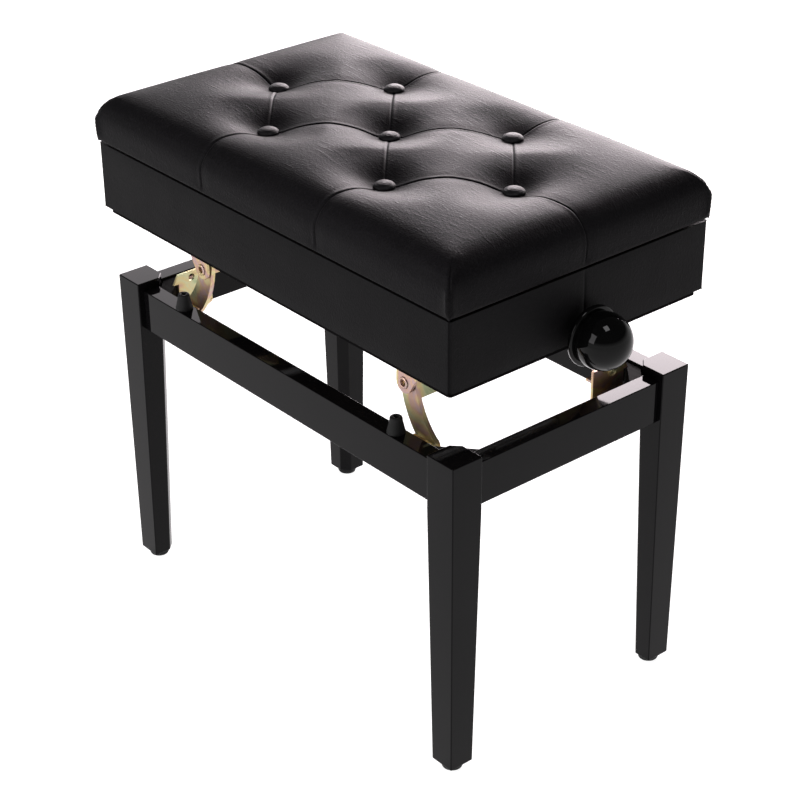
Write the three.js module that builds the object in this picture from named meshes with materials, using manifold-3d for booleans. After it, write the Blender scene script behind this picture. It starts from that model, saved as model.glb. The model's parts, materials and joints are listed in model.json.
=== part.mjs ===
// Adjustable piano bench: black lacquered base, steel half-scissor lift, upholstered box with a tufted lid.
// Millimetres. +Z up, +X along the bench, -Y is the front. The origin is on the floor, under the middle.
import * as THREE from "three";
import { mergeVertices } from "three/addons/utils/BufferGeometryUtils.js";
import { ConvexGeometry } from "three/addons/geometries/ConvexGeometry.js";
import Module from "manifold-3d";

const wasm = await Module();
wasm.setup();

// ---- driving dimensions ----
const seatLength = 550;
const seatDepth = 327;
const seatOverhangX = 3; // the upholstered box past the legs at each end
const seatOverhangY = 7.5; // and at front and back
const clearance = 0.3; // between pieces that touch inside a cut or a turned group
const overcut = 5; // cutting tools reach this far past the piece

// base
const footHeight = 7;
const footRadius = 11;
const footEdge = 1.2;
const legLength = 349;
const legTopWidth = 36.5;
const legFootWidth = 28.5;
const legFootInset = 1.5; // how far the outer faces lean in at the foot
const legCornerCut = 9; // 45 degree cut on the inner corner
const legAboveRail = 9;
const railHeight = 46;
const railThickness = 19.5;
const longRailSetback = 6.5;
const shortRailSetback = 5;
const legStraightBelowRail = 6;
const braceReach = 23.5; // along the long rail, from the line of the leg's cut corner
const braceSideReach = 19; // along the short rail
const braceThickness = 14;
const braceHeight = 40;
const braceBelowRailTop = 2;

// rubber bumpers
const bumperHeight = 17;
const bumperFootRadius = 9.25;
const bumperTopRadius = 6.2;
const bumperHoleRadius = 2.6;
const bumperHoleDepth = 11;
const bumperFlange = 1.5; // straight edge at its foot
const bumperEdge = 0.95;
const bumperFromRail = 74.5; // centre, in from the short rail's inner face

// upholstered box
const boxAboveLegs = 82;
const boxHeight = 72;
const boardThickness = 12;
const passageGap = 1; // round the spindle, where it passes an end board
const trimHeight = 7;
const trimInset = 4;
const trimWidth = 30;
const floorThickness = 6;
const floorAboveBoxBottom = 26;

// lid and cushion
const partingGap = 3;
const lidBoardThickness = 10;
const lidBoardInset = 6;
const cushionHeight = 53;
const cushionBulge = 3.2;
const cushionSkirt = 0.5; // the cover's lower edge above the lid board's underside
const cushionCornerRadius = 14;
const buttonRadius = 11;
const buttonHeight = 6;
const buttonSink = 11; // depth of the dimple's seat below the crown
const backButtonRise = 4; // the back row is pulled down less
const buttonEdge = 2; // straight edge of its cap
const buttonDome = 1.2; // height of the shallow top
const buttonTop = 0.75; // share of its radius where the shallow top starts
const dimpleGap = 2; // round a button, in the cushion
const buttonSpacingX = 90;
const buttonSpacingY = 82;
const stemRadius = 1.8;

// lift
const pivotToBrace = 16.5; // base pivot and seat pivot, in from the brace's end on the long rail
const pivotBelowLegTop = 24;
const spindleAboveBoxBottom = 9;
const crossPinIn = 30.6; // middle pin, where link and arm cross, in from the pivots
const armThickness = 5;
const armFromRail = 13; // gap between an arm and the long rail
const armHalfWidth = 11;
const armBow = 12;
const armRise = 30;
const linkThickness = 3;
const linkGap = 2;
const linkCrossRadius = 11;
const linkSeatRadius = 13;
const linkShoulderRadius = 15;
const linkShoulderOut = 5; // the link's wide middle, from the cross pin
const linkShoulderUp = 27;
const pivotPinRadius = 5;
const crossHoleRadius = 3.5;
const rivetWall = 1.1;
const rivetFlange = 1.4;
const rivetLip = 1.6;
const webThickness = 3;
const webBelowPin = 16.5;
const webAbovePin = 11.5;
const webNotchHalf = 22;
const webNotchDrop = 6;
const webNotchIn = 20; // the notch's cut, each way from the middle pins
const webNotchOut = 40;
const webNotchHeight = 60;

// base brackets
const plateThickness = 3;
const bracketHalfX = 18; // its cheek reaches this far each way from the pivot
const bracketWidth = 53; // across the bench, cheek included
const bracketLedge = 12; // floor left beside the cheek
const bracketLedgeOut = 11; // from the pivot out to where the floor widens
const flangeToBrace = 3.5;
const bracketBelowPivot = 18;
const bracketCheekRise = 7;
const bracketFlangeRise = 26;
const bracketWebOut = 29; // from the pivot out to the cross web
const webToBrace = 4.4;
const bracketWebTopCut = 6;
const tallWebAboveLeg = 2;
const tallWebFlare = 6; // its edge leans out over the brace by this much
const lowWebBelowLeg = 31;
const webHoleRadius = 4;
const webHoleIn = 17; // from the web's outer edge
const webHoleBelowLeg = 5;
const fixingHoleRadius = 2.5;
const fixingHoleDrop = 10; // from the flange's top edge
const pinHeadRadius = 8;
const pinHeadHeight = 2.5;
const pinRoot = 2; // how far the pivot pin runs on inside its heads and cheek

// spindle, nuts, knobs
const spindleRadius = 7;
const spindleEndRadius = 5;
const spindleShoulder = 12; // the full thread stops this far inside the box's end
const nutHalfLength = 12;
const nutHalfWidth = 16;
const nutHalfHeight = 13;
const trunnionRadius = 6;
const trunnionGap = 0.8;
const knobNeckRadius = 12;
const knobNeckLength = 8.5;
const knobDiscRadius = 30.5;
const knobDiscThickness = 5.5;
const knobGap = 2.5;
const knobBallRadius = 28;
const knobBallCentre = 28; // from the box's end face
const knobBore = 17;
const knobRim = 1;

// seat brackets
const seatBracketHalf = 13;
const seatCheekGap = 2;
const seatBracketDrop = 11;
const seatEndLift = 2; // end flanges stop this far above the bottom frame
const lugHalfWidth = 14;
const lugThickness = 4;
const seatPinEnd = 0.8; // the seat pivot pin ends this far inside the link's inner face

// lid hinge
const leafThickness = 1.2;
const leafEndGap = 25; // from the end of the box to the end of the hinge
const leafLowerWidth = 10.5;
const leafUpperWidth = 22;
const hingeRadius = 2.2;
const hingePinRadius = 1.2;
const hingeGap = 0.2; // behind the box
const knuckleCount = 5;
const knuckleGap = 0.6;
const knuckleFoot = 2; // overlap of a knuckle's foot with its leaf

// ---- heights and places that follow ----
const seatHalfX = seatLength / 2;
const seatHalfY = seatDepth / 2;
const halfX = seatHalfX - seatOverhangX;
const halfY = seatHalfY - seatOverhangY;
const legTop = footHeight + legLength;
const railTop = legTop - legAboveRail;
const railBottom = railTop - railHeight;
const longRailInner = halfY - longRailSetback - railThickness;
const shortRailInner = halfX - shortRailSetback - railThickness;
const boxBottom = legTop + boxAboveLegs;
const boxTop = boxBottom + boxHeight;
const lidBottom = boxTop + partingGap;
const lidTop = lidBottom + lidBoardThickness;
const cushionTop = lidBottom + cushionHeight;
const spindleZ = boxBottom + spindleAboveBoxBottom;
const pivotZ = legTop - pivotBelowLegTop;
const legCutLine = halfX + halfY - 2 * legTopWidth + legCornerCut; // x + y on the cut face
const braceStartX = legCutLine - longRailInner - braceReach;
const braceEndY = legCutLine - shortRailInner - braceSideReach;
const braceSlope = (longRailInner - braceEndY) / (shortRailInner - braceStartX);
const pivotX = braceStartX - pivotToBrace;
const crossPinX = pivotX - crossPinIn;
const crossPinZ = (pivotZ + spindleZ) / 2;
const nutX = 2 * crossPinX - pivotX;
const armOuterY = longRailInner - armFromRail;
const armInnerY = armOuterY - armThickness;
const linkInnerY = armOuterY + linkGap;
const linkOuterY = linkInnerY + linkThickness;
const bracketFloor = pivotZ - bracketBelowPivot;
const bracketInnerX = pivotX - bracketHalfX;
const bracketCheekEndX = pivotX + bracketHalfX;
const bracketInnerY = linkOuterY - bracketWidth;
const bracketFlangeEndY = braceEndY - flangeToBrace;
const bracketWebX = pivotX + bracketWebOut;
const webOuterX = bracketWebX + plateThickness;
const bracketWebEndY = longRailInner - (webOuterX - braceStartX) * braceSlope - webToBrace;
const leafLength = seatLength - 2 * leafEndGap;
const hingeY = seatHalfY + hingeRadius + hingeGap;
const hingeZ = boxTop + partingGap / 2;

// ---- materials ----
function finish(color, roughness, metalness) {
  return () => new THREE.MeshStandardMaterial({ color, roughness, metalness });
}
const lacquer = finish(0x0b0b0d, 0.12, 0);
const leatherette = finish(0x1c1b1f, 0.5, 0);
const rubber = finish(0x141414, 0.8, 0);
const zinc = finish(0xb7a25c, 0.35, 1);
const steel = finish(0x8d8e90, 0.35, 1);
const plywood = finish(0xa1825a, 0.7, 0);
const paintedWood = finish(0x151416, 0.6, 0);
const knobPlastic = finish(0x070708, 0.08, 0);

// ---- solids: closed meshes that can be joined and cut ----
function solid(geometry) {
  const plain = geometry.clone();
  plain.deleteAttribute("normal");
  plain.deleteAttribute("uv");
  const merged = mergeVertices(plain, 1e-4);
  return new wasm.Manifold(
    new wasm.Mesh({
      numProp: 3,
      vertProperties: new Float32Array(merged.attributes.position.array),
      triVerts: new Uint32Array(merged.index.array),
    }),
  );
}

function geometryOf(manifold) {
  const mesh = manifold.getMesh();
  const geometry = new THREE.BufferGeometry();
  geometry.setAttribute("position", new THREE.BufferAttribute(mesh.vertProperties, 3));
  geometry.setIndex(new THREE.BufferAttribute(mesh.triVerts, 1));
  const flat = geometry.toNonIndexed();
  flat.computeVertexNormals();
  return flat;
}

function join(...geometries) {
  return geometries.map(solid).reduce((a, b) => a.add(b));
}

function cut(body, ...tools) {
  return tools.map(solid).reduce((a, b) => a.subtract(b), body);
}

// ---- basic shapes ----
function block(x0, x1, y0, y1, z0, z1) {
  const geometry = new THREE.BoxGeometry(x1 - x0, y1 - y0, z1 - z0);
  return geometry.translate((x0 + x1) / 2, (y0 + y1) / 2, (z0 + z1) / 2);
}

function rodX(radius, x0, x1, y, z, sides = 16) {
  const geometry = new THREE.CylinderGeometry(radius, radius, x1 - x0, sides);
  return geometry.rotateZ(Math.PI / 2).translate((x0 + x1) / 2, y, z);
}

function rodY(radius, y0, y1, x, z, sides = 16) {
  const geometry = new THREE.CylinderGeometry(radius, radius, y1 - y0, sides);
  return geometry.translate(x, (y0 + y1) / 2, z);
}

function rodZ(radius, z0, z1, x, y, sides = 16) {
  const geometry = new THREE.CylinderGeometry(radius, radius, z1 - z0, sides);
  return geometry.rotateX(Math.PI / 2).translate(x, y, (z0 + z1) / 2);
}

// A turned solid about +Z from [radius, height] pairs, both ends on the axis, going up the outside.
function turned(profile, sides) {
  const points = profile.map(([r, h]) => new THREE.Vector2(r, h));
  return new THREE.LatheGeometry(points, sides).rotateX(Math.PI / 2);
}

// A plate in the XZ plane: outline points are [x, z], and it fills y0 to y1.
function plateXZ(outline, y0, y1) {
  const shape = new THREE.Shape(outline.map(([x, z]) => new THREE.Vector2(x, z)));
  const geometry = new THREE.ExtrudeGeometry(shape, { depth: y1 - y0, bevelEnabled: false });
  return geometry.rotateX(Math.PI / 2).translate(0, y1, 0);
}

// A plate in the YZ plane: outline points are [y, z], and it fills x0 to x1.
function plateYZ(outline, x0, x1) {
  const shape = new THREE.Shape(outline.map(([y, z]) => new THREE.Vector2(y, z)));
  const geometry = new THREE.ExtrudeGeometry(shape, { depth: x1 - x0, bevelEnabled: false });
  return geometry.rotateX(Math.PI / 2).rotateZ(Math.PI / 2).translate(x0, 0, 0);
}

// A plate lying flat: outline points are [x, y], and it fills z0 to z1.
function plateXY(outline, z0, z1) {
  const shape = new THREE.Shape(outline.map(([x, y]) => new THREE.Vector2(x, y)));
  const geometry = new THREE.ExtrudeGeometry(shape, { depth: z1 - z0, bevelEnabled: false });
  return geometry.translate(0, 0, z0);
}

function arcPoints(x, y, radius, from, to, steps) {
  return Array.from({ length: steps + 1 }, (_, i) => {
    const a = from + ((to - from) * i) / steps;
    return [x + radius * Math.cos(a), y + radius * Math.sin(a)];
  });
}

// ---- base ----
function legSection(width, inset, z) {
  const outerX = halfX - inset;
  const outerY = halfY - inset;
  const innerX = outerX - width;
  const innerY = outerY - width;
  return [
    new THREE.Vector3(outerX, outerY, z),
    new THREE.Vector3(innerX, outerY, z),
    new THREE.Vector3(innerX, innerY + legCornerCut, z),
    new THREE.Vector3(innerX + legCornerCut, innerY, z),
    new THREE.Vector3(outerX, innerY, z),
  ];
}

function leg() {
  return new ConvexGeometry([
    ...legSection(legTopWidth, 0, legTop),
    ...legSection(legTopWidth, 0, railBottom - legStraightBelowRail),
    ...legSection(legFootWidth, legFootInset, footHeight),
  ]);
}

function foot() {
  const profile = [
    [0, 0],
    [footRadius - footEdge, 0],
    [footRadius, footEdge],
    [footRadius, footHeight - footEdge],
    [footRadius - footEdge, footHeight],
    [0, footHeight],
  ];
  const centre = legFootInset + legFootWidth / 2;
  return turned(profile, 16).translate(halfX - centre, halfY - centre, 0);
}

function longRail() {
  const end = halfX - legTopWidth;
  return block(-end, end, longRailInner, longRailInner + railThickness, railBottom, railTop);
}

function shortRail() {
  const end = halfY - legTopWidth;
  return block(shortRailInner, shortRailInner + railThickness, -end, end, railBottom, railTop);
}

// The brace's outline in plan, from the long rail's inner face to the short rail's.
function braceOutline() {
  const start = new THREE.Vector2(braceStartX, longRailInner);
  const end = new THREE.Vector2(shortRailInner, braceEndY);
  const along = end.clone().sub(start);
  const stepX = (braceThickness * along.length()) / Math.abs(along.y);
  const stepY = (braceThickness * along.length()) / Math.abs(along.x);
  return [
    [end.x, end.y],
    [end.x, end.y + stepY],
    [start.x + stepX, start.y],
    [start.x, start.y],
  ];
}

function cornerBrace() {
  const top = railTop - braceBelowRailTop;
  return plateXY(braceOutline(), top - braceHeight, top);
}

function bumper() {
  const profile = [
    [0, 0],
    [bumperFootRadius, 0],
    [bumperFootRadius, bumperFlange],
    [bumperTopRadius, bumperHeight - bumperEdge],
    [bumperTopRadius - bumperEdge, bumperHeight],
    [bumperHoleRadius, bumperHeight],
    [bumperHoleRadius, bumperHeight - bumperHoleDepth],
    [0, bumperHeight - bumperHoleDepth],
  ];
  const x = shortRailInner - bumperFromRail;
  return turned(profile, 16).translate(x, longRailInner + railThickness / 2, railTop);
}

// ---- base brackets: folded plate with the riveted pivot pin of one arm ----
function baseBracket(webTop) {
  const cheekTop = pivotZ + bracketCheekRise;
  const plan = [
    [bracketInnerX, linkOuterY - bracketLedge],
    [pivotX + bracketLedgeOut, linkOuterY - bracketLedge],
    [bracketWebX, bracketInnerY],
    [shortRailInner, bracketInnerY],
    [shortRailInner, bracketFlangeEndY],
    [bracketCheekEndX, linkOuterY],
    [bracketInnerX, linkOuterY],
  ];
  const tall = webTop > railTop;
  const flareZ = railTop + clearance;
  const webEdge = tall
    ? [
        [bracketWebEndY, flareZ],
        [bracketWebEndY + tallWebFlare, flareZ],
        [bracketWebEndY, webTop],
      ]
    : [
        [bracketWebEndY, webTop - bracketWebTopCut],
        [bracketWebEndY - bracketWebTopCut, webTop],
      ];
  const web = [
    [bracketInnerY, bracketFloor],
    [bracketWebEndY, bracketFloor],
    ...webEdge,
    [bracketInnerY, webTop],
  ];
  const body = join(
    plateXY(plan, bracketFloor, bracketFloor + plateThickness),
    block(
      shortRailInner - plateThickness,
      shortRailInner,
      bracketInnerY,
      bracketFlangeEndY,
      bracketFloor,
      bracketFloor + bracketFlangeRise,
    ),
    block(
      bracketInnerX,
      bracketCheekEndX,
      linkOuterY - plateThickness,
      linkOuterY,
      bracketFloor,
      cheekTop,
    ),
    plateYZ(web, bracketWebX, webOuterX),
    rodY(pivotPinRadius, armInnerY - pinRoot, linkOuterY, pivotX, pivotZ),
    rodY(pinHeadRadius, armInnerY - clearance - pinHeadHeight, armInnerY - clearance, pivotX, pivotZ),
    rodY(pinHeadRadius, linkOuterY - 1, linkOuterY + pinHeadHeight, pivotX, pivotZ),
  );
  const fixingY = (bracketInnerY + bracketFlangeEndY) / 2;
  const fixingZ = bracketFloor + bracketFlangeRise - fixingHoleDrop;
  const flangeX = shortRailInner - plateThickness;
  const holes = [
    rodX(fixingHoleRadius, flangeX - overcut, shortRailInner + overcut, fixingY, fixingZ, 12),
  ];
  if (tall) {
    const holeY = bracketWebEndY - webHoleIn;
    const holeZ = legTop - webHoleBelowLeg;
    holes.push(rodX(webHoleRadius, bracketWebX - overcut, webOuterX + overcut, holeY, holeZ));
  }
  return geometryOf(cut(body, ...holes));
}

// ---- lift frame: two curved arms and the web that joins them ----
const basePivot = new THREE.Vector2(pivotX, pivotZ);
const crossPin = new THREE.Vector2(crossPinX, crossPinZ);
const nutPin = new THREE.Vector2(nutX, spindleZ);

function armCurves() {
  const along = crossPin.clone().sub(basePivot).normalize();
  const inward = new THREE.Vector2(-along.y, along.x);
  const bow = basePivot.clone().add(crossPin).multiplyScalar(0.5).addScaledVector(inward, armBow);
  const rise = crossPin.clone().sub(bow).normalize();
  const above = crossPin.clone().addScaledVector(rise, armRise);
  return [
    new THREE.QuadraticBezierCurve(basePivot, bow, crossPin),
    new THREE.QuadraticBezierCurve(crossPin, above, nutPin),
  ];
}

function armOutline() {
  const steps = 6;
  const right = [];
  const left = [];
  for (const curve of armCurves()) {
    for (let i = 0; i <= steps; i++) {
      if (i === 0 && right.length) continue;
      const p = curve.getPoint(i / steps);
      const t = curve.getTangent(i / steps);
      right.push([p.x + t.y * armHalfWidth, p.y - t.x * armHalfWidth]);
      left.push([p.x - t.y * armHalfWidth, p.y + t.x * armHalfWidth]);
    }
  }
  const [lower, upper] = armCurves();
  const down = lower.getTangent(0);
  const up = upper.getTangent(1);
  const endTurn = Math.atan2(up.y, up.x);
  const startTurn = Math.atan2(down.y, down.x);
  const topCap = arcPoints(nutPin.x, nutPin.y, armHalfWidth, endTurn - Math.PI / 2, endTurn + Math.PI / 2, 8);
  const footCap = arcPoints(
    basePivot.x,
    basePivot.y,
    armHalfWidth,
    startTurn + Math.PI / 2,
    startTurn + 1.5 * Math.PI,
    8,
  );
  return [
    ...right.slice(0, -1),
    ...topCap,
    ...left.reverse().slice(1),
    ...footCap.slice(1, -1),
  ];
}

function liftFrame() {
  const outline = armOutline();
  const lean = armCurves()[0].getTangent(1);
  const webCentre = crossPin.clone();
  webCentre.x += lean.y * (armHalfWidth - webThickness / 2);
  webCentre.y -= lean.x * (armHalfWidth - webThickness / 2);
  const webLength = webBelowPin + webAbovePin;
  const web = new THREE.BoxGeometry(webThickness, 2 * armOuterY - armThickness, webLength);
  web.translate(0, 0, (webAbovePin - webBelowPin) / 2);
  web.rotateY(Math.atan2(lean.x, lean.y));
  web.translate(webCentre.x, 0, webCentre.y);
  const body = join(
    plateXZ(outline, armInnerY, armOuterY),
    plateXZ(outline, -armOuterY, -armInnerY),
    web,
  );
  const notchFloor = crossPinZ - webNotchDrop;
  const reach = armOuterY + overcut;
  return geometryOf(
    cut(
      body,
      block(
        crossPinX - webNotchIn,
        crossPinX + webNotchOut,
        -webNotchHalf,
        webNotchHalf,
        notchFloor,
        notchFloor + webNotchHeight,
      ),
      rodY(pivotPinRadius + clearance, -reach, reach, basePivot.x, basePivot.y),
      rodY(crossHoleRadius, -reach, reach, crossPin.x, crossPin.y),
      rodY(trunnionRadius + clearance, -reach, reach, nutPin.x, nutPin.y),
    ),
  );
}

// ---- short link and its hollow rivet ----
function link() {
  const circles = [
    [crossPinX, crossPinZ, linkCrossRadius],
    [crossPinX + linkShoulderOut, crossPinZ + linkShoulderUp, linkShoulderRadius],
    [pivotX, spindleZ, linkSeatRadius],
  ];
  const points = [];
  for (const [x, z, radius] of circles) {
    for (const [px, pz] of arcPoints(x, z, radius, 0, 2 * Math.PI, 16).slice(1)) {
      points.push(new THREE.Vector3(px, linkInnerY, pz));
      points.push(new THREE.Vector3(px, linkOuterY, pz));
    }
  }
  const from = linkInnerY - overcut;
  const to = linkOuterY + overcut;
  return geometryOf(
    cut(
      solid(new ConvexGeometry(points)),
      rodY(pivotPinRadius + clearance, from, to, pivotX, spindleZ),
      rodY(crossHoleRadius + rivetWall + clearance, from, to, crossPinX, crossPinZ),
    ),
  );
}

function rivet() {
  const tube = crossHoleRadius + rivetWall;
  const inner = linkInnerY - clearance;
  const outer = linkOuterY + clearance;
  const profile = [
    [crossHoleRadius, inner - rivetFlange],
    [tube + rivetLip, inner - rivetFlange],
    [tube + rivetLip, inner],
    [tube, inner],
    [tube, outer],
    [tube + rivetLip, outer],
    [tube + rivetLip, outer + rivetFlange],
    [crossHoleRadius, outer + rivetFlange],
    [crossHoleRadius, inner - rivetFlange],
  ];
  return turned(profile, 12).rotateX(-Math.PI / 2).translate(crossPinX, 0, crossPinZ);
}

// ---- seat brackets: cross channel with the seat pivots and the spindle bearing ----
function seatBracket() {
  const x0 = pivotX - seatBracketHalf;
  const x1 = pivotX + seatBracketHalf;
  const top = boxBottom + floorAboveBoxBottom;
  const endY = seatHalfY - boardThickness - clearance;
  const cheekY = linkOuterY + seatCheekGap;
  const low = spindleZ - seatBracketDrop;
  const pieces = [
    block(x0, x1, -endY, endY, top - plateThickness, top),
    block(x0, x0 + lugThickness, -lugHalfWidth, lugHalfWidth, low, top),
  ];
  for (const side of [-1, 1]) {
    const span = (a, b) => (side > 0 ? [a, b] : [-b, -a]);
    pieces.push(block(x0, x1, ...span(endY - plateThickness, endY), boxBottom + seatEndLift, top));
    pieces.push(block(x0, x1, ...span(cheekY, cheekY + plateThickness), low, top));
    pieces.push(rodY(pivotPinRadius, ...span(linkInnerY - seatPinEnd, cheekY + 1), pivotX, spindleZ));
  }
  const bore = rodX(spindleRadius + clearance, x0 - overcut, x0 + lugThickness + overcut, 0, spindleZ);
  return geometryOf(cut(join(...pieces), bore));
}

// ---- spindle, nuts, knobs ----
function spindle() {
  const shoulder = seatHalfX - spindleShoulder;
  const end = seatHalfX + knobGap + knobBore - clearance;
  return geometryOf(
    join(
      rodX(spindleRadius, -shoulder, shoulder, 0, spindleZ),
      rodX(spindleEndRadius, -end, end, 0, spindleZ),
    ),
  );
}

function nut() {
  const reach = armInnerY - trunnionGap;
  const body = join(
    block(
      nutX - nutHalfLength,
      nutX + nutHalfLength,
      -nutHalfWidth,
      nutHalfWidth,
      spindleZ - nutHalfHeight,
      spindleZ + nutHalfHeight,
    ),
    rodY(trunnionRadius, -reach, reach, nutX, spindleZ),
  );
  const end = nutHalfLength + overcut;
  return geometryOf(cut(body, rodX(spindleRadius + clearance, nutX - end, nutX + end, 0, spindleZ)));
}

function knob() {
  const ballSteps = 8;
  const start = knobGap;
  const discStart = start + knobNeckLength;
  const discEnd = discStart + knobDiscThickness;
  const boreRadius = spindleEndRadius + clearance;
  const meet = Math.acos((discEnd - knobBallCentre) / knobBallRadius);
  const ball = Array.from({ length: ballSteps + 1 }, (_, i) => {
    const a = meet * (1 - i / ballSteps);
    return [knobBallRadius * Math.sin(a), knobBallCentre + knobBallRadius * Math.cos(a)];
  });
  ball[ballSteps][0] = 0;
  const profile = [
    [0, start + knobBore],
    [boreRadius, start + knobBore],
    [boreRadius, start],
    [knobNeckRadius, start],
    [knobNeckRadius, discStart],
    [knobDiscRadius - knobRim, discStart],
    [knobDiscRadius, discStart + knobRim],
    [knobDiscRadius, discEnd - knobRim],
    [knobDiscRadius - knobRim, discEnd],
    ...ball,
  ];
  return turned(profile, 20).rotateY(Math.PI / 2).translate(seatHalfX, 0, spindleZ);
}

// ---- upholstered box ----
function longBoard() {
  return block(-seatHalfX, seatHalfX, seatHalfY - boardThickness, seatHalfY, boxBottom, boxTop);
}

function shortBoard() {
  const end = seatHalfY - boardThickness;
  const slot = spindleRadius + passageGap;
  const inside = seatHalfX - boardThickness - overcut;
  const outside = seatHalfX + overcut;
  const board = solid(block(seatHalfX - boardThickness, seatHalfX, -end, end, boxBottom, boxTop));
  const passage = [
    block(inside, outside, -slot, slot, boxBottom - overcut, spindleZ),
    rodX(slot, inside, outside, 0, spindleZ),
  ];
  return geometryOf(cut(board, ...passage));
}

function compartmentFloor() {
  const x = seatHalfX - boardThickness - clearance;
  const y = seatHalfY - boardThickness - clearance;
  const z = boxBottom + floorAboveBoxBottom;
  return block(-x, x, -y, y, z, z + floorThickness);
}

function bottomFrame() {
  const x = seatHalfX - trimInset;
  const y = seatHalfY - trimInset;
  const outer = solid(block(-x, x, -y, y, boxBottom - trimHeight, boxBottom));
  const hole = block(
    -x + trimWidth,
    x - trimWidth,
    -y + trimWidth,
    y - trimWidth,
    boxBottom - trimHeight - overcut,
    boxBottom + overcut,
  );
  return geometryOf(cut(outer, hole));
}

// ---- lid ----
function lidBoard() {
  const x = seatHalfX - lidBoardInset;
  const y = seatHalfY - lidBoardInset;
  return block(-x, x, -y, y, lidBottom, lidTop);
}

function roundedSection(x, y, radius, z) {
  const corners = [
    [x - radius, y - radius, 0],
    [-x + radius, y - radius, 1],
    [-x + radius, -y + radius, 2],
    [x - radius, -y + radius, 3],
  ];
  return corners.flatMap(([cx, cy, quarter]) => {
    const from = (quarter * Math.PI) / 2;
    const arc = arcPoints(cx, cy, radius, from, from + Math.PI / 2, 5);
    return arc.map(([px, py]) => new THREE.Vector3(px, py, z));
  });
}

const buttonPlaces = [
  [-2, 0],
  [0, 0],
  [2, 0],
  [-1, -1],
  [1, -1],
  [-1, 1],
  [1, 1],
].map(([i, j]) => [i * buttonSpacingX, j * buttonSpacingY, j > 0 ? backButtonRise : 0]);

function cushion() {
  const low = lidBottom + cushionSkirt;
  const grown = [
    [-3, 0, 0],
    [0, 3, 0],
    [cushionBulge, 0.5, 0],
    [cushionBulge - 4.5, 0.81, 2],
    [-17, 1, 6],
  ];
  const sections = grown.flatMap(([grow, level, softer], i) => {
    const z = i === 1 ? low + level : low + level * (cushionTop - low);
    return roundedSection(seatHalfX + grow, seatHalfY + grow, cushionCornerRadius + softer, z);
  });
  const boardX = seatHalfX - lidBoardInset + clearance;
  const boardY = seatHalfY - lidBoardInset + clearance;
  const tools = [block(-boardX, boardX, -boardY, boardY, lidBottom - overcut, lidTop + clearance)];
  for (const [x, y, rise] of buttonPlaces) {
    const seat = cushionTop - buttonSink + rise;
    tools.push(rodZ(buttonRadius + dimpleGap, seat, cushionTop + overcut, x, y, 12));
    tools.push(rodZ(stemRadius + clearance, lidTop, seat + 1, x, y, 8));
  }
  return geometryOf(cut(solid(new ConvexGeometry(sections)), ...tools));
}

function button(rise) {
  const seat = cushionTop - buttonSink + rise + clearance;
  const profile = [
    [0, lidTop + clearance],
    [stemRadius, lidTop + clearance],
    [stemRadius, seat],
    [buttonRadius, seat],
    [buttonRadius, seat + buttonEdge],
    [buttonRadius * buttonTop, seat + buttonHeight - buttonDome],
    [0, seat + buttonHeight],
  ];
  return turned(profile, 12);
}

// ---- lid hinge ----
function knuckles(first) {
  const pitch = leafLength / knuckleCount;
  const rings = [];
  for (let i = first; i < knuckleCount; i += 2) {
    const x0 = -leafLength / 2 + i * pitch + knuckleGap / 2;
    rings.push([x0, x0 + pitch - knuckleGap]);
  }
  return rings;
}

function hingeLeaf(first, width, z0, z1) {
  const inner = hingeY - hingeRadius;
  const plate = block(-leafLength / 2, leafLength / 2, inner - width, inner - clearance, z0, z1);
  const pieces = [plate];
  for (const [x0, x1] of knuckles(first)) {
    pieces.push(rodX(hingeRadius, x0, x1, hingeY, hingeZ, 12));
    pieces.push(block(x0, x1, inner - knuckleFoot, hingeY, z0, z1));
  }
  const bore = rodX(hingePinRadius + clearance, -leafLength, leafLength, hingeY, hingeZ, 8);
  return geometryOf(cut(join(...pieces), bore));
}

function hingeLeafLower() {
  return hingeLeaf(0, leafLowerWidth, boxTop, boxTop + leafThickness);
}

function hingeLeafUpper() {
  return hingeLeaf(1, leafUpperWidth, lidBottom - leafThickness, lidBottom);
}

function hingePin() {
  return rodX(hingePinRadius, -leafLength / 2, leafLength / 2, hingeY, hingeZ, 8);
}

// ---- the assembly ----
const bench = new THREE.Group();

function place(parent, name, geometry, material, sideX = 1, sideY = 1) {
  const mesh = new THREE.Mesh(geometry, material());
  mesh.name = name;
  mesh.scale.set(sideX, sideY, 1);
  parent.add(mesh);
  return mesh;
}

const ends = [
  ["left", -1],
  ["right", 1],
];
const sides = [
  ["front", -1],
  ["back", 1],
];

const base = new THREE.Group();
bench.add(base);
for (const [sideName, t] of sides) {
  place(base, `rail_${sideName}`, longRail(), lacquer, 1, t);
  for (const [endName, s] of ends) {
    const corner = `${sideName}_${endName}`;
    const tall = s === t;
    const webTop = tall ? legTop + tallWebAboveLeg : legTop - lowWebBelowLeg;
    place(base, `leg_${corner}`, leg(), lacquer, s, t);
    place(base, `foot_${corner}`, foot(), rubber, s, t);
    place(base, `corner_brace_${corner}`, cornerBrace(), paintedWood, s, t);
    place(base, `bumper_${corner}`, bumper(), rubber, s, t);
    place(base, `base_bracket_${corner}`, baseBracket(webTop), zinc, s, t);
  }
}
for (const [endName, s] of ends) {
  place(base, `rail_${endName}`, shortRail(), lacquer, s, 1);
}

const lift = new THREE.Group();
bench.add(lift);
for (const [endName, s] of ends) {
  place(lift, `lift_frame_${endName}`, liftFrame(), zinc, s, 1);
  for (const [sideName, t] of sides) {
    place(lift, `link_${sideName}_${endName}`, link(), zinc, s, t);
    place(lift, `link_rivet_${sideName}_${endName}`, rivet(), zinc, s, t);
  }
  place(lift, `nut_${endName}`, nut(), steel, s, 1);
  place(lift, `knob_${endName}`, knob(), knobPlastic, s, 1);
}
place(lift, "spindle", spindle(), steel);

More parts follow.
